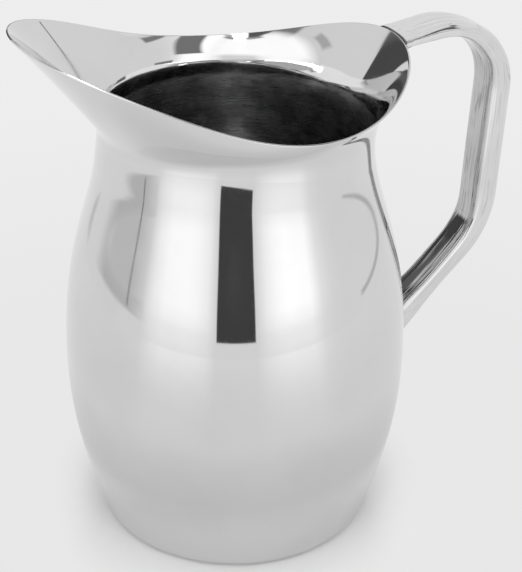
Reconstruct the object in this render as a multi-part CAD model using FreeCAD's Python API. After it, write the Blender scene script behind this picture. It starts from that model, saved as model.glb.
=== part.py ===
import FreeCAD, Part
from FreeCAD import Vector
import math
import os

# A two-quart bell pitcher in polished stainless steel sheet.  The body is one drawn and bulged
# shell whose mouth is flared into a lip and pulled out into a pouring spout.  A hollow handle,
# flattened to a strap where it meets the rim, is welded to the lip and to the belly.
# Millimetres.  +Z is up, the base rests on Z = 0, and the pitcher's axis is the Z axis.
# The handle stands on the +X side and the spout points along -X.

# ---- driving dimensions -------------------------------------------------------------------

WALL = 0.8                   # sheet thickness of the body

# base: a flat centre raised a little off the table, inside a narrow ring that it stands on
DISH_HEIGHT = 1.6
DISH_RADIUS = 38.0
STAND_INNER_RADIUS = 43.0
CORNER_RADIUS = 4.6

# side: one curve from the corner to the neck, as (radius, height) poles
SIDE_POLES = ((55.3, 3.4), (66.5, 44.4), (67.0, 40.2), (74.0, 115.2), (57.1, 119.0), (52.6, 153.6))

# rim: radius and height as terms of a cosine series in the angle from the handle.  The first
# term is the mean, the second shifts the mouth towards the spout, the third makes it an oval,
# and the rest draw the spout out to its point.
RIM_RADIUS_TERMS = (64.4, -6.0, 9.0, -2.4, 1.4, -0.2)
RIM_HEIGHT_TERMS = (189.2, -10.3, 10.4, 0.0, 1.0, 0.1)

# flare between neck and rim, in the same kind of terms.  Its section is two straight runs, up
# the neck and up the lip, that cross and are eased into each other: how far up the neck they
# cross, how gently the sheet turns from one to the other, and how much the lip bows outwards
NECK_RUN_TERMS = (15.3, -2.6, -3.6, -0.4)
TURN_TERMS = (6.0, 3.4, -0.6, -0.5)
BELL_TERMS = (0.0, -3.3, -2.7, 2.2)
RIM_STATIONS = 30            # sections that the flare is drawn through, round the mouth
NECK_POINTS = (-1.0, -0.66, -0.38, -0.17)
LIP_POINTS = (0.0, 0.07, 0.15, 0.25, 0.38, 0.54, 0.76, 1.0)

# handle: corners of its centre line in the XZ plane, and the bend radii at the middle two
HANDLE_CORNERS = ((60.0, 188.4), (113.2, 194.5), (108.4, 102.2), (57.0, 52.2))
HANDLE_BENDS = (27.4, 37.3)
HANDLE_WALL = 1.0
INNER_POWER = 4.5            # superellipse exponent of the section's inner half: nearly square
SECTION_POINTS = 24

# handle section along the centre line, from its rim end: (distance, thickness, width, and the
# superellipse exponent of the outer half, which goes from square to round)
HANDLE_STATIONS = ((5.0, 3.2, 20.5, 4.5), (27.0, 5.0, 20.3, 4.0), (50.0, 8.9, 17.4, 3.0),
                   (70.0, 12.0, 14.8, 2.5), (115.0, 12.5, 14.2, 2.4), (155.0, 9.6, 14.8, 2.6),
                   (191.0, 14.0, 16.2, 3.0))
HANDLE_STEP = 7.0            # spacing of the sections that the handle is lofted through

# weld beads: collars round the two ends of the handle, each between a root in the body and a
# toe in the handle, as (X of the plane, how far the bead stands off the handle there)
UPPER_WELD = ((61.0, 1.0), (69.0, -0.6))
LOWER_WELD = ((64.5, 2.6), (70.2, -0.5))

FUSE_TOLERANCE = 0.001
Z_AXIS = (Vector(0, 0, 0), Vector(0, 0, 1), 360)


def cosine_series(terms, angle):
    return sum(term * math.cos(order * angle) for order, term in enumerate(terms))


def in_xz(point):
    return Vector(point[0], 0, point[1])


# ---- body shell ---------------------------------------------------------------------------

def side_curve(inset=0.0):
    """The side from corner to neck; an inset moves it square to itself, into the pitcher."""
    outer = Part.BezierCurve()
    outer.setPoles([in_xz(pole) for pole in SIDE_POLES])
    if not inset:
        return outer
    inner = Part.BezierCurve()
    poles = []
    for index, pole in enumerate(SIDE_POLES):
        tangent = outer.tangent(index / (len(SIDE_POLES) - 1))[0]
        poles.append(in_xz(pole) + Vector(-tangent.z, 0, tangent.x) * inset)
    inner.setPoles(poles)
    return inner


def base_and_corner(inset, side_start):
    """Edges from the axis out to the foot of the side, at an inset into the pitcher."""
    start, after = SIDE_POLES[0], SIDE_POLES[1]
    lean = math.atan2(after[0] - start[0], after[1] - start[1])
    centre = Vector(start[0] - CORNER_RADIUS * math.cos(lean), 0, CORNER_RADIUS)
    middle = -(math.pi / 2 + lean) / 2
    corner_middle = centre + Vector(math.cos(middle), 0, math.sin(middle)) * (CORNER_RADIUS - inset)
    corner_foot = Vector(centre.x, 0, inset)

    # a conical step runs from the raised dish down to the stand ring
    step_run = STAND_INNER_RADIUS - DISH_RADIUS
    shift = inset * (math.hypot(step_run, DISH_HEIGHT) - step_run) / DISH_HEIGHT
    dish_edge = Vector(DISH_RADIUS + shift, 0, DISH_HEIGHT + inset)
    ring_edge = Vector(STAND_INNER_RADIUS + shift, 0, inset)
    return [
        Part.makeLine(Vector(0, 0, dish_edge.z), dish_edge),
        Part.makeLine(dish_edge, ring_edge),
        Part.makeLine(ring_edge, corner_foot),
        Part.Arc(corner_foot, corner_middle, side_start).toShape(),
    ]


def make_cup():
    """Base and side up to the neck, turned from one closed outline of constant thickness."""
    outer = side_curve()
    inner = side_curve(WALL)
    outer_edges = base_and_corner(0.0, outer.getPole(1)) + [outer.toShape()]
    inner_edges = base_and_corner(WALL, inner.getPole(1)) + [inner.toShape()]
    last = len(SIDE_POLES)
    across_neck = Part.makeLine(outer.getPole(last), inner.getPole(last))
    on_axis = Part.makeLine(Vector(0, 0, DISH_HEIGHT), Vector(0, 0, DISH_HEIGHT + WALL))
    edges = Part.sortEdges(outer_edges + [across_neck] + inner_edges + [on_axis])[0]
    return Part.Face(Part.Wire(edges)).revolve(*Z_AXIS)


def flare_section(angle):
    """Points up the outside of the flare at an angle from the handle, and the way in at each."""
    side = side_curve()
    neck = side.getPole(len(SIDE_POLES))
    run = cosine_series(NECK_RUN_TERMS, angle)
    turn = cosine_series(TURN_TERMS, angle)
    bell = cosine_series(BELL_TERMS, angle)
    crossing = neck + side.tangent(1.0)[0] * run
    rim = in_xz((cosine_series(RIM_RADIUS_TERMS, angle), cosine_series(RIM_HEIGHT_TERMS, angle)))
    lip = rim - crossing
    bow_way = Vector(lip.z, 0, -lip.x).normalize()

    def eased_share(place, start, end):
        low, value, high = [(at + math.hypot(at, turn)) / 2 for at in (start, place, end)]
        return (value - low) / (high - low)

    def point(place):
        lip_share = eased_share(place, -run, lip.Length)
        neck_share = eased_share(-place, -lip.Length, run)
        bow = bow_way * (bell * lip_share * (1 - lip_share))
        return crossing + (neck - crossing) * neck_share + lip * lip_share + bow

    places = [run * share for share in NECK_POINTS] + [lip.Length * share for share in LIP_POINTS]
    section = []
    for place in places:
        ahead = (point(place + 0.01) - point(place - 0.01)).normalize()
        section.append((point(place), Vector(-ahead.z, 0, ahead.x)))
    return section


def flare_skin(inset):
    """One skin of the flare: a net of rings, each through every section, from neck to rim."""
    neck = side_curve(inset).getPole(len(SIDE_POLES))
    around = [station / RIM_STATIONS for station in range(RIM_STATIONS + 1)]
    upward = [(share + 1) / 3 for share in NECK_POINTS] + [(1 + 2 * share) / 3 for share in LIP_POINTS]
    columns = []
    for station in around[:-1]:
        angle = 2 * math.pi * station
        points = [place + way_in * inset for place, way_in in flare_section(angle)]
        points[0] = neck
        spine = Part.BSplineCurve()
        spine.interpolate(Points=[Vector(point.x * math.cos(angle), point.x * math.sin(angle), point.z)
                                  for point in points], Parameters=upward)
        columns.append(spine)
    rings = []
    for row in zip(*[spine.getPoles() for spine in columns]):
        ring = Part.BSplineCurve()
        ring.interpolate(Points=list(row), PeriodicFlag=True, Parameters=around)
        rings.append(ring)
    poles = [list(column) for column in zip(*[ring.getPoles() for ring in rings])]
    surface = Part.BSplineSurface()
    surface.buildFromPolesMultsKnots(poles, rings[0].getMultiplicities(), columns[0].getMultiplicities(),
                                     rings[0].getKnots(), columns[0].getKnots(), True, False, 3, 3)
    return surface.toShape(), rings[0].toShape(), rings[-1].toShape()


def make_flare():
    """The flared lip with its spout, between its outer skin and the one a wall inside it."""
    outer, outer_neck, outer_rim = flare_skin(0.0)
    inner, inner_neck, inner_rim = flare_skin(WALL)
    faces = [outer, inner,
             Part.makeRuledSurface(outer_neck, inner_neck),
             Part.makeRuledSurface(outer_rim, inner_rim)]
    shell = Part.Compound(faces)
    shell.sewShape(FUSE_TOLERANCE)
    return outward(Part.Solid(shell.Shells[0]))


def outward(solid):
    if solid.Volume < 0:
        solid.reverse()
    return solid


def make_body_shell():
    return make_cup().fuse(make_flare(), FUSE_TOLERANCE).Solids[0]


def filled_belly():
    """The cup as if it were solid metal; it trims what is welded to the belly."""
    side = side_curve()
    neck = side.getPole(len(SIDE_POLES))
    edges = base_and_corner(0.0, side.getPole(1)) + [side.toShape()]
    edges.append(Part.makeLine(neck, Vector(0, 0, neck.z)))
    edges.append(Part.makeLine(Vector(0, 0, neck.z), Vector(0, 0, DISH_HEIGHT)))
    return Part.Face(Part.Wire(Part.sortEdges(edges)[0])).revolve(*Z_AXIS)


def filled_mouth():
    """The flare as if it were solid and carried on upwards; it trims what is welded to the lip."""
    outer, neck, rim = flare_skin(0.0)
    raised = rim.translated(Vector(0, 0, 10))
    apex = Part.Vertex(Vector(0, 0, 250))
    cone = Part.makeLoft([Part.Wire(raised), apex], False, True)
    shell = Part.Compound([outer, Part.Face(Part.Wire(neck)), Part.makeRuledSurface(rim, raised)]
                          + cone.Faces)
    shell.sewShape(FUSE_TOLERANCE)
    return outward(Part.Solid(shell.Shells[0]))


# ---- handle -------------------------------------------------------------------------------

def handle_path():
    """The handle's centre line: straight runs joined by tangent arcs."""
    corners = [in_xz(corner) for corner in HANDLE_CORNERS]
    edges = []
    here = corners[0]
    for before, corner, after, bend in zip(corners, corners[1:], corners[2:], HANDLE_BENDS):
        back = (before - corner).normalize()
        ahead = (after - corner).normalize()
        half_turn = (math.pi - back.getAngle(ahead)) / 2
        reach = bend * math.tan(half_turn)
        start = corner + back * reach
        end = corner + ahead * reach
        inward = (back + ahead).normalize()
        middle = corner + inward * (bend / math.cos(half_turn) - bend)
        edges.append(Part.makeLine(here, start))
        edges.append(Part.Arc(start, middle, end).toShape())
        here = end
    edges.append(Part.makeLine(here, corners[-1]))
    return Part.Wire(edges)


def place_on(path, distance):
    """The point at a distance along the path, and the way the path runs there."""
    for edge in path.Edges:
        if distance <= edge.Length or edge.isSame(path.Edges[-1]):
            parameter = edge.getParameterByLength(min(distance, edge.Length))
            return edge.valueAt(parameter), edge.tangentAt(parameter)
        distance -= edge.Length


def handle_size(distance):
    """Thickness, width and outer exponent at a distance from the rim, eased between stations."""
    stations = HANDLE_STATIONS
    for before, after in zip(stations, stations[1:]):
        if distance <= after[0]:
            share = max(0.0, (distance - before[0]) / (after[0] - before[0]))
            ease = share * share * (3 - 2 * share)
            return tuple(a + (b - a) * ease for a, b in zip(before[1:], after[1:]))
    return stations[-1][1:]


def rounded_ring(centre, across, out, outer_power):
    """A closed outline from two half superellipses that meet at its widest; out is the rounder."""
    points = []
    for step in range(SECTION_POINTS):
        angle = 2 * math.pi * step / SECTION_POINTS
        power = outer_power if math.sin(angle) > 0 else INNER_POWER
        side = math.copysign(abs(math.cos(angle)) ** (2 / power), math.cos(angle))
        face = math.copysign(abs(math.sin(angle)) ** (2 / power), math.sin(angle))
        points.append(centre + across * side + out * face)
    ring = Part.BSplineCurve()
    ring.interpolate(Points=points, PeriodicFlag=True)
    return Part.Wire(ring.toShape())


def handle_section(path, distance, growth=0.0):
    """The handle's outline square to its path; growth makes it larger all round."""
    centre, along = place_on(path, distance)
    thickness, width, outer_power = handle_size(distance)
    out = along.cross(Vector(0, 1, 0))
    return rounded_ring(centre, Vector(0, width / 2 + growth, 0), out * (thickness / 2 + growth),
                        outer_power)


def handle_solid(growth=0.0, ruled=False):
    """The handle's full length lofted through its sections, before its ends are trimmed."""
    path = handle_path()
    count = round(path.Length / HANDLE_STEP)
    rings = [handle_section(path, path.Length * step / count, growth) for step in range(count + 1)]
    return outward(Part.makeLoft(rings, True, ruled))


def make_handle(outer):
    """A hollow tube, with both ends cut to fit the outside of the body."""
    tube = outer.cut(handle_solid(-HANDLE_WALL, True))
    tube = tube.cut(filled_belly()).cut(filled_mouth())
    return max(tube.Solids, key=lambda solid: solid.Volume)


# ---- welds --------------------------------------------------------------------------------

def weld_ring(leg, size, plane_x, stand_off, sink):
    """The outline of a straight leg of the handle on the plane X = plane_x, grown and lowered."""
    start, end = leg
    thickness, width, outer_power = size
    slope = (end[1] - start[1]) / (end[0] - start[0])
    outer_way = 1 if end[0] > start[0] else -1
    centre = Vector(plane_x, 0, start[1] + slope * (plane_x - start[0]) - sink)
    half_height = thickness / 2 * math.hypot(1, slope)
    return rounded_ring(centre, Vector(0, width / 2 + stand_off, 0),
                        Vector(0, 0, outer_way * (half_height + stand_off)), outer_power)


def make_upper_weld(outer):
    """A bead under the strap and up its two sides, level with its top, tapering from the lip."""
    size = HANDLE_STATIONS[0][1:]
    rings = [weld_ring(HANDLE_CORNERS[:2], size, plane_x, stand_off, abs(stand_off))
             for plane_x, stand_off in UPPER_WELD]
    bead = outward(Part.makeLoft(rings, True, True)).cut(outer).cut(filled_mouth())
    return max(bead.Solids, key=lambda solid: solid.Volume)


def make_lower_weld(outer):
    """A bead all round the foot of the handle, tapering from the belly."""
    size = HANDLE_STATIONS[-1][1:]
    rings = [weld_ring(HANDLE_CORNERS[2:], size, plane_x, stand_off, 0.0)
             for plane_x, stand_off in LOWER_WELD]
    bead = outward(Part.makeLoft(rings, True, True)).cut(outer).cut(filled_belly())
    return max(bead.Solids, key=lambda solid: solid.Volume)


os.makedirs("parts", exist_ok=True)
handle_outside = handle_solid()
make_body_shell().exportStep("parts/body_shell.step")
make_handle(handle_outside).exportStep("parts/handle.step")
make_upper_weld(handle_outside).exportStep("parts/upper_weld.step")
make_lower_weld(handle_outside).exportStep("parts/lower_weld.step")
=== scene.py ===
import bpy
import bmesh
import math
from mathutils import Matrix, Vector
from mathutils.bvhtree import BVHTree


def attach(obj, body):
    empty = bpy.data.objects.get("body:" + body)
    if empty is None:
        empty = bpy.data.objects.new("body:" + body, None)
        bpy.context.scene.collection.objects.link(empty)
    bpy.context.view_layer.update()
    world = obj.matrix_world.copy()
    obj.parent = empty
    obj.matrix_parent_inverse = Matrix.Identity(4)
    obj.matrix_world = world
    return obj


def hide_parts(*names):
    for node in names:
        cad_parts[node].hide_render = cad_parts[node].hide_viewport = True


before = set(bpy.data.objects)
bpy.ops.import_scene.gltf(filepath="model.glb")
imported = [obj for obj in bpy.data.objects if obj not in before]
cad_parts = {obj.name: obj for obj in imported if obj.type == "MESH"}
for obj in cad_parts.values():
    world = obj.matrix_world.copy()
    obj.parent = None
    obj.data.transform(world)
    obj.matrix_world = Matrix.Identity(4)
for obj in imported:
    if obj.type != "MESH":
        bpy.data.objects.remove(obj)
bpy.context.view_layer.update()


# ==== Body shell ===========================================================================
# One sheet of stainless steel, drawn and bulged into a belly, necked in, and flared at the
# mouth into a lip that is pulled out to a spout.  Polished outside and on the lip, left with
# its turning marks inside.

MM = 0.001
FULL_TURN = 2 * math.pi
SHEET = 0.8 * MM              # thickness of the steel
DISH_HEIGHT = 1.6 * MM        # how far the middle of the base is raised off the table
DISH_RADIUS = 38.0 * MM
STAND_INNER_RADIUS = 43.0 * MM
CORNER_RADIUS = 4.6 * MM
RIM_ROUNDING = 0.32 * MM
SHARP_EDGE = math.radians(55) # a corner sharper than this is a cut edge, and is rounded
MERGE = 0.005 * MM            # points nearer than this are one
SKIN_FIT = 0.02 * MM          # the skin stays this much inside the belly's largest size

# (radius, height) in mm of the poles of the side's one curve, from the corner to the neck
SIDE_POLES = ((55.3, 3.4), (66.5, 44.4), (67.0, 40.2), (74.0, 115.2), (57.1, 119.0), (52.6, 153.6))

# each outline of the mouth is a cosine series in the angle from the handle
MOUTH_SERIES = {
    "Rim radius": [value * MM for value in (64.4, -6.0, 9.0, -2.4, 1.4, -0.2)],
    "Rim height": [value * MM for value in (189.2, -10.3, 10.4, 0.0, 1.0, 0.1)],
    "Neck run": [value * MM for value in (15.3, -2.6, -3.6, -0.4)],
    "Bell": [value * MM for value in (0.0, -3.3, -2.7, 2.2)],
    "Turn": [value * MM for value in (6.0, 3.4, -0.6, -0.5)],
}
NECK_SHARE = 0.36             # share of the flare's steps that lie below its turn
LIP_CROWDING = 1.4            # how strongly the lip's steps crowd towards that turn
AROUND = 264
FLARE_STEPS = 72
SIDE_STEPS = 84
CORNER_STEPS = 10
DISH_EDGE_STEPS = 8
FLOOR_SHARES = (0, 0.25, 0.5, 0.75, 0.98)   # rings on the flat middle of the floor


def blend_poles(poles, share):
    """The point at a share of the way along a Bezier curve."""
    while len(poles) > 1:
        poles = [a.lerp(b, share) for a, b in zip(poles, poles[1:])]
    return poles[0]


def cup_outline():
    """Points from the middle of the base out to the corner and up the side to the neck."""
    poles = [Vector((radius * MM, 0, height * MM)) for radius, height in SIDE_POLES]
    lean = math.atan2(poles[1].x - poles[0].x, poles[1].z - poles[0].z)
    centre = Vector((poles[0].x - CORNER_RADIUS * math.cos(lean), 0, CORNER_RADIUS))
    points = [Vector((DISH_RADIUS * share, 0, DISH_HEIGHT)) for share in FLOOR_SHARES]
    step = STAND_INNER_RADIUS - DISH_RADIUS
    for number in range(DISH_EDGE_STEPS + 1):
        share = number / DISH_EDGE_STEPS
        drop = share * share * (3 - 2 * share)
        points.append(Vector((DISH_RADIUS + step * share, 0, DISH_HEIGHT * (1 - drop))))
    points.append(Vector(((STAND_INNER_RADIUS + centre.x) / 2, 0, 0)))
    for number in range(CORNER_STEPS + 1):
        turn = -math.pi / 2 + (math.pi / 2 - lean) * number / CORNER_STEPS
        points.append(centre + Vector((math.cos(turn), 0, math.sin(turn))) * CORNER_RADIUS)
    side = [blend_poles(poles, number / SIDE_STEPS) for number in range(1, SIDE_STEPS + 1)]
    return points + [point - Vector((SKIN_FIT, 0, 0)) for point in side]


class Wire:
    """The value on a node's socket.  Plain arithmetic on it adds the nodes that work it out."""

    def __init__(self, make, socket):
        self.make = make
        self.socket = socket

    def worked(self, operation, first, second):
        """A node that works on two values: vectors, numbers, or a vector and its scale."""
        is_vector = [value.socket.type == "VECTOR" if isinstance(value, Wire)
                     else not isinstance(value, (int, float)) for value in (first, second)]
        if not any(is_vector):
            return self.make.maths(operation, first, second)
        if operation == "MULTIPLY" and not all(is_vector):
            vector, scale = (first, second) if is_vector[0] else (second, first)
            settings = {"operation": "SCALE"}
            return self.make.result("ShaderNodeVectorMath", settings, Vector=vector, Scale=scale)
        return self.make.vector(operation, first, second)

    def __add__(self, other):
        return self.worked("ADD", self, other)

    def __radd__(self, other):
        return self.worked("ADD", other, self)

    def __sub__(self, other):
        return self.worked("SUBTRACT", self, other)

    def __rsub__(self, other):
        return self.worked("SUBTRACT", other, self)

    def __mul__(self, other):
        return self.worked("MULTIPLY", self, other)

    def __truediv__(self, other):
        return self.worked("DIVIDE", self, other)

    def __rtruediv__(self, other):
        return self.worked("DIVIDE", other, self)

    def __neg__(self):
        return self * -1.0


class Recipe:
    """A tree of nodes as it is put together, with short words for its nodes and named inputs."""

    def __init__(self, tree):
        self.tree = tree
        # a group or a Geometry Nodes tree has inputs of its own, and a material's tree has none
        if tree.name in bpy.data.node_groups:
            self.given = tree.nodes.new("NodeGroupInput")

    def put(self, socket, value):
        """Links a wire to a socket, or sets a plain value on it."""
        if isinstance(value, Wire):
            self.tree.links.new(value.socket, socket)
        else:
            socket.default_value = value

    def node(self, kind, settings=None, **values):
        """A new node, with its settings and its named inputs."""
        new = self.tree.nodes.new(kind)
        for name, value in (settings or {}).items():
            setattr(new, name, value)
        for name, value in values.items():
            self.put(new.inputs[name.replace("_", " ")], value)
        return new

    def result(self, kind, settings=None, which=0, **values):
        """One result of a new node, picked by its name or its place."""
        return Wire(self, self.node(kind, settings, **values).outputs[which])

    def results(self, kind, settings=None, **values):
        """All the results of a new node, by name."""
        return {socket.name: Wire(self, socket) for socket in self.node(kind, settings, **values).outputs}

    def ask(self, name, socket_type, value=None):
        """A named input of the tree."""
        socket = self.tree.interface.new_socket(name, in_out="INPUT", socket_type=socket_type)
        if value is not None:
            socket.default_value = value
        return Wire(self, self.given.outputs[name])

    def give(self, **results):
        """The named outputs of a shader group."""
        for name in results:
            self.tree.interface.new_socket(name, in_out="OUTPUT", socket_type="NodeSocketFloat")
        self.node("NodeGroupOutput", **results)

    def group(self, tree, **values):
        """The results of a shader group placed in this tree with its own values."""
        return self.results("ShaderNodeGroup", {"node_tree": tree}, **values)

    def chained(self, kind, operation, values):
        """A maths node, whose inputs are filled in turn."""
        new = self.node(kind, {"operation": operation})
        for socket, value in zip(new.inputs, values):
            self.put(socket, value)
        return Wire(self, new.outputs[0])

    def maths(self, operation, *values):
        return self.chained("ShaderNodeMath", operation, values)

    def vector(self, operation, *values):
        return self.chained("ShaderNodeVectorMath", operation, values)

    def vector_length(self, vector):
        return self.result("ShaderNodeVectorMath", {"operation": "LENGTH"}, which="Value", Vector=vector)

    def mixed(self, first, second, share, kind="FLOAT", places=(2, 3, 0)):
        """Runs from one number to another as the share goes from 0 to 1."""
        # a Mix node has sockets of the same name for each kind of value, told apart by place
        new = self.node("ShaderNodeMix", {"data_type": kind}, Factor=share)
        self.put(new.inputs[places[0]], first)
        self.put(new.inputs[places[1]], second)
        return Wire(self, new.outputs[places[2]])

    def mixed_vector(self, first, second, share):
        return self.mixed(first, second, share, "VECTOR", (4, 5, 1))

    def eased_range(self, value, low, high, at_low=0.0, at_high=1.0):
        """Runs smoothly from one value to another as the given value passes from low to high."""
        return self.result("ShaderNodeMapRange", {"interpolation_type": "SMOOTHSTEP"}, Value=value,
                           From_Min=low, From_Max=high, To_Min=at_low, To_Max=at_high)

    def cloud(self, place, scale=1.0, detail=2.0):
        """Soft noise from 0 to 1."""
        return self.result("ShaderNodeTexNoise", which="Fac", Vector=place, Scale=scale, Detail=detail)

    def join_xyz(self, x=0.0, y=0.0, z=0.0):
        return self.result("ShaderNodeCombineXYZ", X=x, Y=y, Z=z)

    def parts(self, vector):
        """The x, y and z of a vector."""
        return self.results("ShaderNodeSeparateXYZ", Vector=vector).values()

    def height(self, vector):
        """The z of a vector."""
        _, _, z = self.parts(vector)
        return z

    def position(self):
        """The place of each point of the mesh that a Geometry Nodes tree works on."""
        return self.result("GeometryNodeInputPosition")

    def series(self, name, terms, angle):
        """A cosine series in the angle, with one named input for each of its terms."""
        total = 0.0
        for order, term in enumerate(terms):
            size = self.ask(f"{name} {order}", "NodeSocketFloat", term)
            total = size * self.maths("COSINE", angle * float(order)) + total
        return total

    def finish(self, geometry, material):
        """Ends a Geometry Nodes tree, with every instance made real and the material set."""
        self.tree.interface.new_socket("Geometry", in_out="OUTPUT", socket_type="NodeSocketGeometry")
        smooth = self.result("GeometryNodeSetShadeSmooth", Geometry=geometry)
        real = self.result("GeometryNodeRealizeInstances", Geometry=smooth)
        painted = self.result("GeometryNodeSetMaterial", Geometry=real, Material=material)
        self.node("NodeGroupOutput", Geometry=painted)
        return self.tree


def shell_recipe(steel):
    """The body's skin: a net of sections round the axis, taken from the outline and the series."""
    make = Recipe(bpy.data.node_groups.new("Flared shell", "GeometryNodeTree"))
    outline = make.ask("Outline", "NodeSocketGeometry")
    around = make.ask("Sections around", "NodeSocketInt", AROUND)
    flare_steps = make.ask("Steps up the flare", "NodeSocketInt", FLARE_STEPS)
    cup_points = make.result("GeometryNodeAttributeDomainSize", which="Point Count", Geometry=outline)
    neck_index = cup_points - 1.0
    last_index = neck_index + flare_steps
    net = make.result("GeometryNodeMeshGrid", which="Mesh", Size_X=1.0, Size_Y=1.0,
                      Vertices_X=around + 1.0, Vertices_Y=last_index + 1.0)
    across, along, _ = make.parts(make.position())
    angle = (across + 0.5) * FULL_TURN
    station = make.maths("ROUND", (along + 0.5) * last_index)
    past_neck = (station - neck_index) / flare_steps
    share = make.maths("MAXIMUM", past_neck, 0.0)   # 0 at the neck, 1 at the rim

    def outline_point(index):
        return make.result("GeometryNodeSampleIndex", {"data_type": "FLOAT_VECTOR", "clamp": True},
                           Geometry=outline, Value=make.position(), Index=index)

    sizes = {name: make.series(name, terms, angle) for name, terms in MOUTH_SERIES.items()}
    neck = outline_point(neck_index)
    before_neck = outline_point(neck_index - 1.0)
    neck_way = make.vector("NORMALIZE", neck - before_neck)
    # two straight runs, up the neck and up the lip, eased into each other where they cross
    rim = make.join_xyz(sizes["Rim radius"], 0.0, sizes["Rim height"])
    crossing = neck + neck_way * sizes["Neck run"]
    lip = rim - crossing
    lip_length = make.vector_length(lip)
    across_x, _, across_z = make.parts(make.vector("NORMALIZE", lip))
    bell_way = make.join_xyz(across_z, 0.0, -across_x)
    below = make.maths("MAXIMUM", 1.0 - share / NECK_SHARE, 0.0)
    above = make.maths("MAXIMUM", (share - NECK_SHARE) / (1.0 - NECK_SHARE), 0.0)
    # how far along the two runs a step lies, less than 0 below their crossing
    run = lip_length * make.maths("POWER", above, LIP_CROWDING) - sizes["Neck run"] * below

    def eased(length):
        root = make.maths("SQRT", length * length + sizes["Turn"] * sizes["Turn"])
        return (length + root) * 0.5

    def eased_share(length, start, end):
        low, high = eased(start), eased(end)
        return (eased(length) - low) / (high - low)

    lip_share = eased_share(run, -sizes["Neck run"], lip_length)
    neck_share = eased_share(-run, -lip_length, sizes["Neck run"])
    arch = lip_share * (1.0 - lip_share)
    flare = crossing + (neck - crossing) * neck_share
    flare = flare + lip * lip_share
    flare = flare + bell_way * (sizes["Bell"] * arch)
    is_flare = make.maths("GREATER_THAN", share, 0.0)
    section_point = make.mixed_vector(outline_point(station), flare, is_flare)
    turned = make.result("ShaderNodeVectorRotate", {"rotation_type": "Z_AXIS"},
                         Vector=section_point, Angle=angle)
    placed = make.result("GeometryNodeSetPosition", Geometry=net, Position=turned)
    closed = make.result("GeometryNodeMergeByDistance", Geometry=placed, Distance=MERGE)
    return make.finish(closed, steel)


def own_object(name, data):
    """A new object at the origin, in the scene."""
    piece = bpy.data.objects.new(name, data)
    bpy.context.scene.collection.objects.link(piece)
    return piece


def line_of_points(name, points):
    """A mesh of points joined in a row by edges."""
    mesh = bpy.data.meshes.new(name)
    mesh.from_pydata(points, [(i, i + 1) for i in range(len(points) - 1)], [])
    return mesh


def settle(piece):
    """Turns a piece and its modifiers into one plain mesh."""
    graph = bpy.context.evaluated_depsgraph_get()
    plain = bpy.data.meshes.new_from_object(piece.evaluated_get(graph))
    plain.name = piece.name
    piece.modifiers.clear()
    piece.data = plain
    return piece


def grow(name, line, tree, sizes):
    """Makes a piece from a line of points by a Geometry Nodes tree whose named inputs are set."""
    piece = own_object(name, line)
    step = piece.modifiers.new(tree.name, "NODES")
    step.node_group = tree
    for socket in tree.interface.items_tree:
        if socket.in_out == "INPUT" and socket.name in sizes:
            step[socket.identifier] = sizes[socket.name]
    return settle(piece)


def face_outward(piece, seed):
    """Turns all faces out, judged by the face nearest to a point well outside the piece."""
    net = bmesh.new()
    net.from_mesh(piece.data)
    nearest = min(net.faces, key=lambda face: (face.calc_center_median() - seed).length)
    if nearest.normal.dot(seed - nearest.calc_center_median()) < 0:
        bmesh.ops.reverse_faces(net, faces=net.faces)
    net.to_mesh(piece.data)
    net.free()
    return piece


def turning_lines():
    """Fine rings round the axis, as a spinning lathe and its polishing mop leave them."""
    make = Recipe(bpy.data.node_groups.new("Turning lines", "ShaderNodeTree"))
    place = make.ask("Place", "NodeSocketVector")
    width = make.ask("Line width", "NodeSocketFloat", 0.5 * MM)
    run = make.ask("Run", "NodeSocketFloat", 3.0)
    x, y, z = make.parts(place)
    flat = make.join_xyz(x, y, 0.0)
    # the radius counts a little too, so that the floor gets rings as the wall does
    level = (z + make.vector_length(flat) * 0.4) / width
    ring = make.vector("NORMALIZE", flat) * run
    fine = make.cloud(ring + make.join_xyz(0.0, 0.0, level), 1.0, 3.0)
    # bands nine lines wide, where the tool's pressure changed
    broad = make.cloud(ring + make.join_xyz(0.0, 0.0, level * 0.11))
    make.give(Height=fine, Shade=make.eased_range(broad, 0.35, 0.65))
    return make.tree


def handling_marks():
    """A thin film left by hands and cloths, and hairline scratches that cross at random."""
    make = Recipe(bpy.data.node_groups.new("Handling marks", "ShaderNodeTree"))
    place = make.ask("Place", "NodeSocketVector")
    patch = make.ask("Patch size", "NodeSocketFloat", 30 * MM)
    hair = make.ask("Hair width", "NodeSocketFloat", 0.15 * MM)
    film = make.cloud(place * (1.0 / patch), 1.0, 4.0)
    x, y, z = make.parts(place * (1.0 / hair))
    stretch = 0.02            # a hairline is fifty times as long as it is wide

    def hairlines(first, second, third, low):
        drawn_out = make.cloud(make.join_xyz(first, second, third), 1.0, 0.0)
        return make.eased_range(drawn_out, low, low + 0.06)

    rising = hairlines(x + z, y * stretch, (x - z) * stretch, 0.72)
    falling = hairlines(x * stretch, y - z, (y + z) * stretch, 0.73)
    make.give(Film=make.eased_range(film, 0.42, 0.72), Hairlines=make.maths("MAXIMUM", rising, falling))
    return make.tree


def sheet_ripple():
    """The last faint unevenness of drawn sheet, which makes a reflected edge waver."""
    make = Recipe(bpy.data.node_groups.new("Sheet ripple", "ShaderNodeTree"))
    place = make.ask("Place", "NodeSocketVector")
    length = make.ask("Ripple length", "NodeSocketFloat", 20 * MM)
    make.give(Height=make.cloud(place * (1.0 / length), 1.0, 1.0))
    return make.tree


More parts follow.
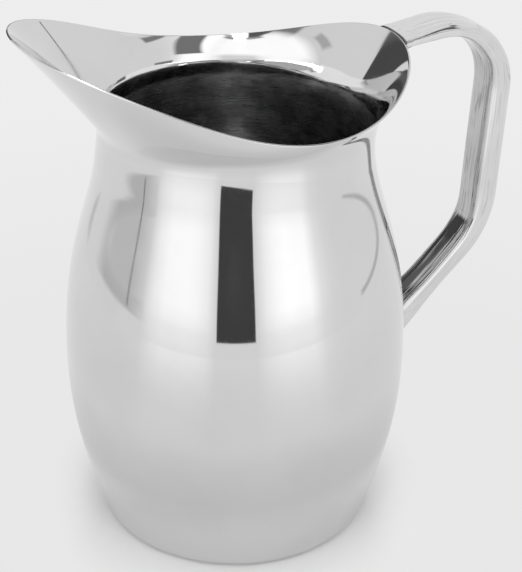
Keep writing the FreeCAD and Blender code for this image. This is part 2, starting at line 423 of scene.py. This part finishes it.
class Finish(Recipe):
    """The material of one finish: a Principled shader, and words for what changes over it."""

    def __init__(self, name):
        material = bpy.data.materials.new(name)
        material.use_nodes = True
        super().__init__(material.node_tree)
        self.material = material
        self.shader = material.node_tree.nodes["Principled BSDF"]
        self.place = self.result("ShaderNodeTexCoord", which="Object")
        self.shader.inputs["Metallic"].default_value = 1.0

    def tone(self, grey):
        self.put(self.shader.inputs["Base Color"], grey)

    def roughness(self, value):
        self.put(self.shader.inputs["Roughness"], value)

    def relief(self, *layers):
        """Bumps laid one on another, each given as (height from 0 to 1, depth in metres)."""
        below = {}
        for height, depth in layers:
            bump = self.result("ShaderNodeBump", Strength=1.0, Distance=depth, Height=height, **below)
            below = {"Normal": bump}
        self.put(self.shader.inputs["Normal"], bump)


TURNING_LINES = turning_lines()
HANDLING_MARKS = handling_marks()
SHEET_RIPPLE = sheet_ripple()

# polished outside: fine mop rings, a little film, and a scuffed ring where it stands
MIRROR_TONE = 0.73
SCUFF_STARTS = 0.3 * MM
SCUFF_ENDS = 1.4 * MM
outside = Finish("Mirror steel")
mop = outside.group(TURNING_LINES, Place=outside.place, Line_width=0.6 * MM, Run=4.0)
marks = outside.group(HANDLING_MARKS, Place=outside.place, Patch_size=34 * MM, Hair_width=0.22 * MM)
ripple = outside.group(SHEET_RIPPLE, Place=outside.place, Ripple_length=26 * MM)["Height"]
scuffed = outside.eased_range(outside.height(outside.place), SCUFF_STARTS, SCUFF_ENDS, 1.0, 0.0)
outside.tone(MIRROR_TONE - marks["Film"] * 0.025 - scuffed * 0.04)
worn = marks["Film"] * 0.045 + marks["Hairlines"] * 0.05 + mop["Shade"] * 0.012
outside.roughness(0.025 + worn + scuffed * 0.3)
outside.relief((ripple, 0.022 * MM), (mop["Height"], 0.0006 * MM))
mirror_steel = outside.material

# inside: polished lip, then satin below the neck with the turning lines left in it
# the satin's tone is set lower than the steel's, as painted shade inside the pitcher
SATIN_AND_SHADE_TONE = 0.44
POLISH_ENDS = 166.0 * MM
SATIN_STARTS = 163.8 * MM
POLISH_WANDER = 4.0 * MM      # height of the band in which the edge of the polish wanders
within = Finish("Turned steel inside")
lines = within.group(TURNING_LINES, Place=within.place, Line_width=0.9 * MM, Run=5.0)
level = within.height(within.place) + (lines["Height"] - 0.5) * POLISH_WANDER
satin = within.eased_range(level, SATIN_STARTS, POLISH_ENDS, 1.0, 0.0)
marks = within.group(HANDLING_MARKS, Place=within.place, Patch_size=28 * MM, Hair_width=0.2 * MM)
ripple = within.group(SHEET_RIPPLE, Place=within.place, Ripple_length=24 * MM)["Height"]
polished_tone = MIRROR_TONE - marks["Film"] * 0.03
# the satin tone holds both the satin finish and painted shade inside the pitcher
satin_and_shade_tone = SATIN_AND_SHADE_TONE - lines["Shade"] * 0.16 - lines["Height"] * 0.1
within.tone(within.mixed(polished_tone, satin_and_shade_tone, satin))
polished_rough = 0.03 + marks["Film"] * 0.05
satin_rough = 0.2 + lines["Height"] * 0.16
within.roughness(within.mixed(polished_rough, satin_rough, satin))
within.relief((ripple, 0.02 * MM), (lines["Height"] * satin, 0.03 * MM))
# brushed round the axis, so what it mirrors is drawn out up and down the wall
within.shader.inputs["Anisotropic"].default_value = 0.85
within.shader.inputs["Anisotropic Rotation"].default_value = 0.25
brushed_round = within.result("ShaderNodeTangent", {"direction_type": "RADIAL", "axis": "Z"})
within.put(within.shader.inputs["Tangent"], brushed_round)
turned_steel = within.material

series_terms = {f"{name} {order}": term for name, terms in MOUTH_SERIES.items()
                for order, term in enumerate(terms)}
body = grow("Pitcher_body", line_of_points("Cup outline", cup_outline()), shell_recipe(mirror_steel),
            {"Sections around": AROUND, "Steps up the flare": FLARE_STEPS, **series_terms})
face_outward(body, Vector((0, -1, 0.1)))
outer_skin = BVHTree.FromObject(body, bpy.context.evaluated_depsgraph_get())
body.data.materials.clear()
body.data.materials.append(mirror_steel)
body.data.materials.append(turned_steel)
wall = body.modifiers.new("Sheet", "SOLIDIFY")
wall.thickness = SHEET
wall.offset = -1              # the wall's thickness lies inside the skin
wall.use_even_offset = True
wall.material_offset = 1
rounding = body.modifiers.new("Rim edge", "BEVEL")
rounding.width = RIM_ROUNDING
rounding.segments = 3
rounding.limit_method = "ANGLE"
rounding.angle_limit = SHARP_EDGE
settle(body)
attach(body, "root")
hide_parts("body_shell")


# ==== Handle ===============================================================================
# A hollow steel tube, pressed flat to a strap where it leaves the rim, bent over in one easy
# turn, and swelled to a rounded grip.  Its foot is splayed to sit on the belly, and the inside
# of its lower bend is pinched a little by the bending.

# (radius, height) in mm of the corners of the centre line, from the rim to the belly
HANDLE_CORNERS = ((60.0, 188.4), (113.2, 194.5), (108.4, 102.2), (57.0, 52.2))
# radius of each bend, squareness of the face towards the body, and the pinch in that face
HANDLE_SIZES = {"Upper bend": 27.4 * MM, "Lower bend": 37.3 * MM, "Inner squareness": 4.5,
                "Pinch place": 126.0 * MM, "Pinch length": 7.0 * MM, "Pinch depth": 1.0 * MM}
# (distance from the rim end, thickness and width in mm, squareness of the outer half)
HANDLE_STATIONS = ((5.0, 3.2, 20.5, 4.5), (27.0, 5.0, 20.3, 4.0), (50.0, 8.9, 17.4, 3.0),
                   (70.0, 12.0, 14.8, 2.5), (115.0, 12.5, 14.2, 2.4), (155.0, 9.6, 14.8, 2.6),
                   (191.0, 14.0, 16.2, 3.0))
HANDLE_FIT = 0.16 * MM        # the skin is this much thinner than the tube's largest size
HANDLE_AROUND = 96
HANDLE_ROWS = 224
BEND_STEPS = 48
STRAP_LENGTH = 12.0 * MM      # straight run at the rim end, and at the foot, that meets the body
FOOT_LENGTH = 28.0 * MM
END_SINK = 0.25 * MM          # how deep each end is set into the body's skin


def handle_recipe(steel):
    """A net swept along the bent centre line, its section eased from station to station."""
    make = Recipe(bpy.data.node_groups.new("Swept handle", "GeometryNodeTree"))
    corners = make.ask("Corners", "NodeSocketGeometry")
    around = make.ask("Columns", "NodeSocketInt", HANDLE_AROUND)
    rows = make.ask("Rows", "NodeSocketInt", HANDLE_ROWS)
    given = {name: make.ask(name, "NodeSocketFloat", value) for name, value in HANDLE_SIZES.items()}
    straight = make.result("GeometryNodeMeshToCurve", Mesh=corners)
    is_lower = make.maths("GREATER_THAN", make.result("GeometryNodeInputIndex"), 1.5)
    bend = make.mixed(given["Upper bend"], given["Lower bend"], is_lower)
    bent = make.result("GeometryNodeFilletCurve", {"mode": "POLY"}, Curve=straight,
                       Count=BEND_STEPS, Radius=bend)
    full_length = make.result("GeometryNodeCurveLength", Curve=bent)
    grid = make.results("GeometryNodeMeshGrid", Size_X=1.0, Size_Y=1.0,
                        Vertices_X=around + 1.0, Vertices_Y=rows + 1.0)
    across, along, _ = make.parts(make.position())
    turn = (across + 0.5) * FULL_TURN
    share = along + 0.5
    distance = share * full_length
    spot = make.results("GeometryNodeSampleCurve", {"mode": "LENGTH", "use_all_curves": True},
                        Curves=bent, Length=distance)
    out = make.vector("CROSS_PRODUCT", spot["Tangent"], (0.0, 1.0, 0.0))
    places = [make.ask(f"Station {n}", "NodeSocketFloat", station[0] * MM)
              for n, station in enumerate(HANDLE_STATIONS)]

    def eased_along(name, column, unit):
        size = make.ask(f"{name} 0", "NodeSocketFloat", HANDLE_STATIONS[0][column] * unit)
        for n, station in enumerate(HANDLE_STATIONS[1:], 1):
            after = make.ask(f"{name} {n}", "NodeSocketFloat", station[column] * unit)
            size = make.mixed(size, after, make.eased_range(distance, places[n - 1], places[n]))
        return size

    # each section is a rounded box: a circle whose sine and cosine are raised to a power
    thickness = eased_along("Thickness", 1, MM) - HANDLE_FIT
    width = eased_along("Width", 2, MM) - HANDLE_FIT
    sine, cosine = make.maths("SINE", turn), make.maths("COSINE", turn)
    is_outer = make.maths("GREATER_THAN", sine, 0.0)
    squareness = make.mixed(given["Inner squareness"], eased_along("Squareness", 3, 1.0), is_outer)
    power = 2.0 / squareness

    def squared(wave):
        size = make.maths("POWER", make.maths("ABSOLUTE", wave), power)
        return size * make.maths("SIGN", wave)

    # the pinch sinks the middle of the inner face into the tube, and fades to both sides
    off_pinch = (distance - given["Pinch place"]) / given["Pinch length"]
    dent = make.maths("EXPONENT", -(off_pinch * off_pinch))
    pinch = dent * given["Pinch depth"] * ((1.0 - is_outer) * (sine * sine))
    side = squared(cosine) * (width * 0.5)
    face = squared(sine) * (thickness * 0.5) + pinch
    skin_point = spot["Position"] + (out * face + make.join_xyz(0.0, side, 0.0))
    net = make.result("GeometryNodeStoreNamedAttribute", {"data_type": "FLOAT2", "domain": "CORNER"},
                      Geometry=grid["Mesh"], Name="UVMap", Value=grid["UV Map"])
    # the last column lies on the first, and is merged with it
    column = make.maths("MODULO", make.maths("ROUND", (across + 0.5) * around), around)
    row = make.maths("ROUND", share * rows)
    for name, number in (("column", column), ("row", row)):
        net = make.result("GeometryNodeStoreNamedAttribute", {"data_type": "INT", "domain": "POINT"},
                          Geometry=net, Name=name, Value=number)
    placed = make.result("GeometryNodeSetPosition", Geometry=net, Position=skin_point)
    closed = make.result("GeometryNodeMergeByDistance", Geometry=placed, Distance=0.5 * MERGE)
    return make.finish(closed, steel)


def meet_body(start, end, sink):
    """Where a line from the handle towards the body meets it, carried on a little into it."""
    way = (end - start).normalized()
    hit, _, _, _ = outer_skin.ray_cast(start, way, (end - start).length)
    if hit is None:
        # the strap's upper face passes level with the rim, and stops at its outer edge
        turn = math.atan2(end.y, end.x)
        terms = enumerate(MOUTH_SERIES["Rim radius"])
        rim = sum(term * math.cos(order * turn) for order, term in terms)
        stop = math.sqrt(rim * rim - end.y * end.y)
        hit = start.lerp(end, (start.x - stop) / (start.x - end.x))
    return hit + way * sink


def seat_ends(piece):
    """Draws both ends of the handle's skin onto the body, closes them, and drops the counts."""
    mesh = piece.data
    rows, columns = mesh.attributes["row"].data, mesh.attributes["column"].data
    place = {(row.value, column.value): index for index, (row, column) in enumerate(zip(rows, columns))}
    vertices = mesh.vertices
    full = sum((vertices[place[row + 1, 0]].co - vertices[place[row, 0]].co).length
               for row in range(HANDLE_ROWS))
    strap_rows = round(STRAP_LENGTH / full * HANDLE_ROWS)
    foot_rows = round(FOOT_LENGTH / full * HANDLE_ROWS)
    for first, last in ((strap_rows, 0), (HANDLE_ROWS - foot_rows, HANDLE_ROWS)):
        step = 1 if last > first else -1
        for column in range(HANDLE_AROUND):
            start = vertices[place[first, column]].co.copy()
            met = meet_body(start, vertices[place[last, column]].co.copy(), END_SINK)
            for row in range(first, last + step, step):
                vertices[place[row, column]].co = start.lerp(met, abs(row - first) / abs(last - first))
    for name in ("row", "column"):
        mesh.attributes.remove(mesh.attributes[name])
    net = bmesh.new()
    net.from_mesh(mesh)
    bmesh.ops.holes_fill(net, edges=[edge for edge in net.edges if edge.is_boundary], sides=0)
    net.to_mesh(mesh)
    net.free()


# polished along its length by hand, so its marks run in long streaks; the darker streaks in its tone are
# partly painted reflections
GRIP_TONE = 0.77
PAINTED_SHADE_INNER_TONE = 0.56             # painted shade on the face towards the body
INNER_WEAR_AND_SHADE = 0.9              # and its wear and streaks darken it this much more, partly painted shade
RIM_END_TONE = 0.10              # share of the tone left in the dark line next to the rim
RIM_END_LINE = (0.004, 0.013)    # where that line fades out, as shares of the tube's length
INNER_FACE = (-0.75, -0.3)    # sine of the turn round the tube where the inner face fades out
STREAKS = 5.0                 # how closely the broad and the fine streaks lie round the tube
FINE_STREAKS = 26.0
tube = Finish("Handle steel")
around_share, along_share, _ = tube.parts(tube.result("ShaderNodeUVMap", {"uv_map": "UVMap"}))
turn = around_share * FULL_TURN
sine = tube.maths("SINE", turn)
# a ring that moves on by little more than its own radius over the tube's whole length
ring_place = tube.join_xyz(tube.maths("COSINE", turn), sine, along_share * 1.1)
is_inside = tube.eased_range(sine, *INNER_FACE, 1.0, 0.0)
streaks = tube.cloud(ring_place, STREAKS, 1.0)
fine_streaks = tube.cloud(ring_place * (1.0, 1.0, 0.5), FINE_STREAKS, 2.0)
marks = tube.group(HANDLING_MARKS, Place=tube.place, Patch_size=16 * MM, Hair_width=0.18 * MM)
ripple = tube.group(SHEET_RIPPLE, Place=tube.place, Ripple_length=14 * MM)["Height"]
# the fine streaks darken the tone as painted reflections, and the film as real wear
worn = tube.eased_range(fine_streaks, 0.5, 0.66) * 0.11 + marks["Film"] * 0.03
# on the inner face the wear and streaks are deepened, partly as painted shade
worn = worn * (1.0 + is_inside * INNER_WEAR_AND_SHADE)
# the first two millimetres from the rim are darkened to a dark line
rim_end_darkening = tube.eased_range(along_share, *RIM_END_LINE, RIM_END_TONE, 1.0)
# the face towards the body takes the darker tone, as painted shade
clean_tone_with_painted_shade = tube.mixed(GRIP_TONE, PAINTED_SHADE_INNER_TONE, is_inside)
tube.tone((clean_tone_with_painted_shade - worn) * rim_end_darkening)
tube.roughness(0.03 + marks["Film"] * 0.05 + tube.eased_range(fine_streaks, 0.4, 0.7) * 0.05)
grooves = streaks * tube.mixed(0.5, 1.0, is_inside)
tube.relief((ripple, 0.02 * MM), (grooves, 0.32 * MM), (fine_streaks, 0.012 * MM))
handle_steel = tube.material

handle_line = line_of_points("Handle corners", [(x * MM, 0, z * MM) for x, z in HANDLE_CORNERS])
# the tree's name and unit for each column of the stations
STATION_COLUMNS = (("Station", MM), ("Thickness", MM), ("Width", MM), ("Squareness", 1.0))
station_sizes = {f"{name} {n}": station[column] * unit for n, station in enumerate(HANDLE_STATIONS)
                 for column, (name, unit) in enumerate(STATION_COLUMNS)}
handle = grow("Pitcher_handle", handle_line, handle_recipe(handle_steel),
              {"Columns": HANDLE_AROUND, "Rows": HANDLE_ROWS, **HANDLE_SIZES, **station_sizes})
seat_ends(handle)
face_outward(handle, Vector((1, 0, 0.1)))
handle.data.materials.clear()
handle.data.materials.append(handle_steel)
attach(handle, "root")
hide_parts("handle")


# ==== Welds ================================================================================
# Beads of weld metal that close the corner between the strap and the rim, and between the foot
# and the belly.  They are ground down and polished, but keep a trace of the bead's ripples.

BEAD_TONE = 0.68
BEAD_RIPPLE = Vector((2.0, 0.8, 0.8)) * MM    # size of one ripple along each way
bead = Finish("Weld steel")
ripples = bead.cloud(bead.place / BEAD_RIPPLE, 1.0, 1.0)
marks = bead.group(HANDLING_MARKS, Place=bead.place, Patch_size=6 * MM, Hair_width=0.12 * MM)
bead.tone(BEAD_TONE - ripples * 0.2 - marks["Film"] * 0.08)
bead.roughness(0.1 + marks["Film"] * 0.14)
bead.relief((ripples, 0.06 * MM), (marks["Hairlines"], 0.002 * MM))
for node in ("upper_weld", "lower_weld"):
    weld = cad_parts[node].data
    weld.materials.clear()
    weld.materials.append(bead.material)


# ==== Camera ===============================================================================
# It stands above the pitcher and a little to the spout's side, and looks down at the middle of
# the body.  The shift slides the picture without turning the camera.

CAMERA_TARGET = Vector((0, 0, 80.4 * MM))
CAMERA_BEARING = math.radians(246.0)
CAMERA_RISE = math.radians(30.6)
CAMERA_DISTANCE = 670.0 * MM
SENSOR_WIDTH = 36.0           # the sensor and the lens in mm, as makers give them
LENS = 116.55
PICTURE_WIDTH = 522
SHIFT_RIGHT = 26.2 / PICTURE_WIDTH
SHIFT_UP = 34.6 / PICTURE_WIDTH

lens = bpy.data.cameras.new("Camera")
lens.sensor_fit = "HORIZONTAL"
lens.sensor_width = SENSOR_WIDTH
lens.lens = LENS
lens.shift_x = SHIFT_RIGHT
lens.shift_y = SHIFT_UP
lens.clip_start = 10 * MM
camera = own_object("Camera", lens)
toward = Vector((math.cos(CAMERA_BEARING) * math.cos(CAMERA_RISE),
                 math.sin(CAMERA_BEARING) * math.cos(CAMERA_RISE), math.sin(CAMERA_RISE)))
camera.location = CAMERA_TARGET + toward * CAMERA_DISTANCE
camera.rotation_euler = toward.to_track_quat("Z", "Y").to_euler()
bpy.context.scene.camera = camera
bpy.context.scene.view_settings.view_transform = "Standard"


# ==== Light tent ===========================================================================
# A round wall of white cloth that stands on the table, open at the top, and lights the pitcher.
# It has a bright front on each side of the camera's slot, with the folds, openings and seams
# that polished steel mirrors.

TENT_RADIUS = 460.0 * MM
TENT_HEIGHT = 1400.0 * MM
TENT_SIDES = 96
CLOTH_GLOW = 0.84
STRIP_GLOW = 9.0

# brightness of the cloth by bearing from the camera's, in degrees
FRONT_GLOW = ((-180, 0.84), (-66, 0.82), (-60, 0.86), (-53, 1.14), (-45, 1.30), (-31, 1.31), (-24, 1.26),
              (-17, 1.13), (-11.5, 0.86), (13, 0.86), (20, 1.13), (27, 1.30), (34, 1.38), (49, 1.34),
              (57, 1.0), (65, 0.88), (73, 0.84), (180, 0.84))
# share of that brightness by height, in mm
GLOW_BY_HEIGHT = ((0, 0.36), (24, 0.48), (40, 0.52), (56, 0.6), (66, 0.75), (103, 1.0), (700, 1.0))
# (brightness, (from bearing, to bearing, from height, to height, soft bearing, soft height, lean)),
# with bearings in degrees, heights in mm, and the lean in degrees for each mm of height
CLOTH_PATCHES = (
    (0.25, (-150.0, -62.0, 820.0, 2000.0, 8.0, 60.0, 0.0)),     # dim cloth high on the left
    (1.34, (-68.0, 30.0, 330.0, 860.0, 14.0, 90.0, 0.0)),       # the bright ceiling over the front
    (1.34, (-62.0, 30.0, 700.0, 1200.0, 14.0, 90.0, 0.0)),      # and its upper half
    (0.35, (-40.0, 30.0, 1150.0, 2000.0, 8.0, 60.0, 0.0)),      # the dim cloth above it
    (STRIP_GLOW, (-9.0, 10.0, 1060.0, 2000.0, 3.0, 60.0, 0.0)),  # the end of the strip light
    (1.2, (50.0, 84.0, 700.0, 2000.0, 6.0, 60.0, 0.0)),         # pale cloth high on the right
    (0.06, (-11.2, 12.8, 37.0, 210.0, 0.7, 4.0, 0.0)),          # the camera's slot
    (0.57, (-108.0, -57.0, 33.0, 76.0, 13.0, 8.0, 0.0)),        # a fold in the left side
    (0.64, (-104.0, -58.0, 50.0, 134.0, 12.0, 26.0, 0.0)),      # and its softer upper part
    (0.30, (-72.1, -70.5, 42.0, 125.0, 0.4, 6.0, 0.0)),         # and its seam
    (0.62, (-132.0, -121.0, 9.0, 26.0, 5.0, 5.0, 0.0)),         # the hem on the left
    (0.54, (87.0, 132.0, 22.0, 36.0, 3.0, 5.0, 0.0)),           # the hem on the right
    (0.08, (-135.0, -97.0, 110.0, 530.0, 1.5, 70.0, -0.09)),    # the open back, up to a white post
    (0.08, (-160.0, -141.0, 100.0, 300.0, 1.5, 20.0, -0.09)),   # and past the post
    (0.16, (-112.0, -95.0, 300.0, 520.0, 3.0, 40.0, -0.09)),    # a grey curtain at its edge
    (0.08, (-181.0, -152.0, 330.0, 500.0, 1.5, 10.0, 0.0)),     # a gap high at the back
    (0.08, (150.0, 158.0, 400.0, 500.0, 1.5, 10.0, 0.0)),       # and a narrow one to its right
    (0.22, (17.0, 48.0, 440.0, 2000.0, 5.0, 16.0, 0.03)),       # the dark frame at the upper right
    (0.12, (66.0, 140.0, 600.0, 2000.0, 4.0, 40.0, 0.03)),      # and where it goes on
    (0.25, (58.0, 78.0, 235.0, 330.0, 2.0, 20.0, 0.0)),         # a clip on the right side
    (0.50, (-83.0, -71.0, 440.0, 640.0, 3.0, 40.0, 0.0)),       # a crease on the left side
    (0.10, (183.3, 184.3, 212.0, 308.0, 0.3, 6.0, -0.15)),      # a seam down the back
)


def tent_wall():
    """The tent's round wall, open at the top."""
    points = []
    for number in range(TENT_SIDES):
        bearing = FULL_TURN * number / TENT_SIDES
        for height in (0.0, TENT_HEIGHT):
            points.append((TENT_RADIUS * math.cos(bearing), TENT_RADIUS * math.sin(bearing), height))
    faces = []
    for number in range(TENT_SIDES):
        left, right = 2 * number, 2 * ((number + 1) % TENT_SIDES)
        faces.append((left, right, right + 1, left + 1))
    mesh = bpy.data.meshes.new("Tent wall")
    mesh.from_pydata(points, [], faces)
    mesh.shade_smooth()
    return mesh


def ramp_of(make, value, stops):
    """A brightness looked up along a value, between the stops given as (place, brightness)."""
    low, high = stops[0][0], stops[-1][0]
    scaled_value = (value - low) / (high - low)
    ramp = make.node("ShaderNodeValToRGB", Fac=scaled_value)
    elements = ramp.color_ramp.elements
    while len(elements) > 1:
        elements.remove(elements[-1])
    # a ramp's colours stop at 1, so it holds half of each brightness
    for number, (place, brightness) in enumerate(stops):
        at = (place - low) / (high - low)
        element = elements[0] if number == 0 else elements.new(at)
        element.position = at
        element.color = (brightness / 2, brightness / 2, brightness / 2, 1)
    return Wire(make, ramp.outputs["Color"]) * 2.0


def soft_patch(make, bearing, height, box):
    """1 inside a patch of the wall, 0 outside it, with soft edges; its sides may lean."""
    low_bearing, high_bearing, low, high, soft_bearing, soft_height, lean = box
    shifted = bearing - height * lean
    left = (shifted - low_bearing) / soft_bearing
    right = (high_bearing - shifted) / soft_bearing
    under = (height - low) / soft_height
    over = (high - height) / soft_height
    inside = make.maths("MINIMUM", make.maths("MINIMUM", left, right), make.maths("MINIMUM", under, over))
    return make.result("ShaderNodeClamp", Value=inside)


def bearing_of(make, place):
    """The bearing of a place from the middle, in degrees from the camera's, -180 to 180."""
    east, north, _ = make.parts(place)
    turn = make.maths("ARCTAN2", north, east) - (CAMERA_BEARING - FULL_TURN)
    degrees = turn * math.degrees(1.0)
    return make.maths("MODULO", degrees + 540.0, 360.0) - 180.0


tent = own_object("Tent_wall", tent_wall())
cloth = bpy.data.materials.new("Tent cloth")
cloth.use_nodes = True
cloth.node_tree.nodes.clear()
weave = Recipe(cloth.node_tree)
place = weave.result("ShaderNodeTexCoord", which="Object")
bearing = bearing_of(weave, place)
height = weave.height(place) * 1000.0
panels = ramp_of(weave, bearing, FRONT_GLOW)
rise = ramp_of(weave, height, GLOW_BY_HEIGHT)
glow = CLOTH_GLOW + (panels - CLOTH_GLOW) * rise
for brightness, box in CLOTH_PATCHES:
    glow = weave.mixed(glow, brightness, soft_patch(weave, bearing, height, box))
weave.node("ShaderNodeOutputMaterial", Surface=weave.result("ShaderNodeEmission", Strength=glow))
tent.data.materials.append(cloth)
tent.visible_camera = False
tent.visible_shadow = False


# ==== Table ================================================================================
# A wide pale top.  By the foot it is plain paint, which takes the pitcher's shadow, and further
# off it passes into an even glow.

TABLE_EDGE = 6.0              # metres from the middle, past what any view shows
TABLE_PAINT = 0.68
NEAR_TABLE_GLOW = 0.805
FAR_TABLE_GLOW = 0.85
PAINTED_SPILL_SHARE = 0.5             # share of the fronts' light painted onto the far table, seen only by polished metal
PAINTED_FOOT_SHADE = 0.13             # painted shadow: how much dimmer polished metal sees the table close to the foot
LEAST_GLOW = 0.15             # share of the even glow that the paint by the foot has
# the distances from the middle, in metres, between which each of these changes
PAINT_FADES = (0.056, 0.088)
GLOW_GROWS = (0.12, 0.45)
PAINTED_SPILL_GROWS = (0.10, 0.46)
PAINTED_SHADE_FADES = (0.075, 0.16)

table = bpy.data.meshes.new("Table")
table.from_pydata([(x * TABLE_EDGE, y * TABLE_EDGE, 0) for x, y in ((-1, -1), (1, -1), (1, 1), (-1, 1))],
                  [], [(0, 1, 2, 3)])
table_top = own_object("Table", table)
table_paint = bpy.data.materials.new("Table white")
table_paint.use_nodes = True
paint = Recipe(table_paint.node_tree)
table_shader = table_paint.node_tree.nodes["Principled BSDF"]
table_shader.inputs["Base Color"].default_value = (TABLE_PAINT, TABLE_PAINT, TABLE_PAINT, 1)
table_shader.inputs["Roughness"].default_value = 0.6
table_shader.inputs["Specular IOR Level"].default_value = 0.2
table_place = paint.result("ShaderNodeTexCoord", which="Object")
from_middle = paint.vector_length(table_place)     # in metres
seen = paint.results("ShaderNodeLightPath")
seen_straight = paint.maths("MAXIMUM", seen["Is Camera Ray"], seen["Is Glossy Ray"])
evenness = paint.eased_range(from_middle, *PAINT_FADES, LEAST_GLOW, 1.0) * seen_straight
# painted light and shadow that only polished metal sees on the table: light from the bright fronts next
# to it, and the foot's shadow
painted_spill_and_shade = ramp_of(paint, bearing_of(paint, table_place), FRONT_GLOW) - CLOTH_GLOW
painted_spill_and_shade = painted_spill_and_shade * paint.eased_range(from_middle, *PAINTED_SPILL_GROWS, 0.0, PAINTED_SPILL_SHARE)
painted_spill_and_shade = painted_spill_and_shade + paint.eased_range(from_middle, *PAINTED_SHADE_FADES, -PAINTED_FOOT_SHADE, 0.0)
even_glow = paint.eased_range(from_middle, *GLOW_GROWS, NEAR_TABLE_GLOW, FAR_TABLE_GLOW)
paper = paint.result("ShaderNodeEmission", Strength=even_glow + painted_spill_and_shade * seen["Is Glossy Ray"])
blend = paint.node("ShaderNodeMixShader", Fac=evenness)
paint.put(blend.inputs[1], Wire(paint, table_shader.outputs[0]))
paint.put(blend.inputs[2], paper)
paint.put(table_paint.node_tree.nodes["Material Output"].inputs["Surface"], Wire(paint, blend.outputs[0]))
table.materials.append(table_paint)


# ==== Overhead light =======================================================================
# One strip light that hangs across the tent's open top, with a dark room to its left and a
# paler one to its right.  The camera sees plain cloth in its place.

LEFT_GLOW = 0.12
RIGHT_GLOW = 0.7
# how far to the right a direction points, from 0 straight up to 1 level
ROOM_CHANGES = (-0.10, 0.20)
STRIP_EDGE = (0.03, 0.10)

world = bpy.data.worlds.new("Tent")
bpy.context.scene.world = world
world.use_nodes = True
sky = Recipe(world.node_tree)
overhead = sky.result("ShaderNodeTexCoord", which="Generated")
east, north, _ = sky.parts(overhead)
right = CAMERA_BEARING + math.pi / 2
to_right = east * math.cos(right) + north * math.sin(right)
dimness = sky.eased_range(to_right, *ROOM_CHANGES, LEFT_GLOW, RIGHT_GLOW)
off_strip = sky.eased_range(sky.maths("ABSOLUTE", to_right), *STRIP_EDGE)
strip_light = sky.mixed(STRIP_GLOW, dimness, off_strip)
is_seen = sky.result("ShaderNodeLightPath", which="Is Camera Ray")
background = world.node_tree.nodes["Background"]
background.inputs["Color"].default_value = (1, 1, 1, 1)
sky.put(background.inputs["Strength"], sky.mixed(strip_light, CLOTH_GLOW, is_seen))
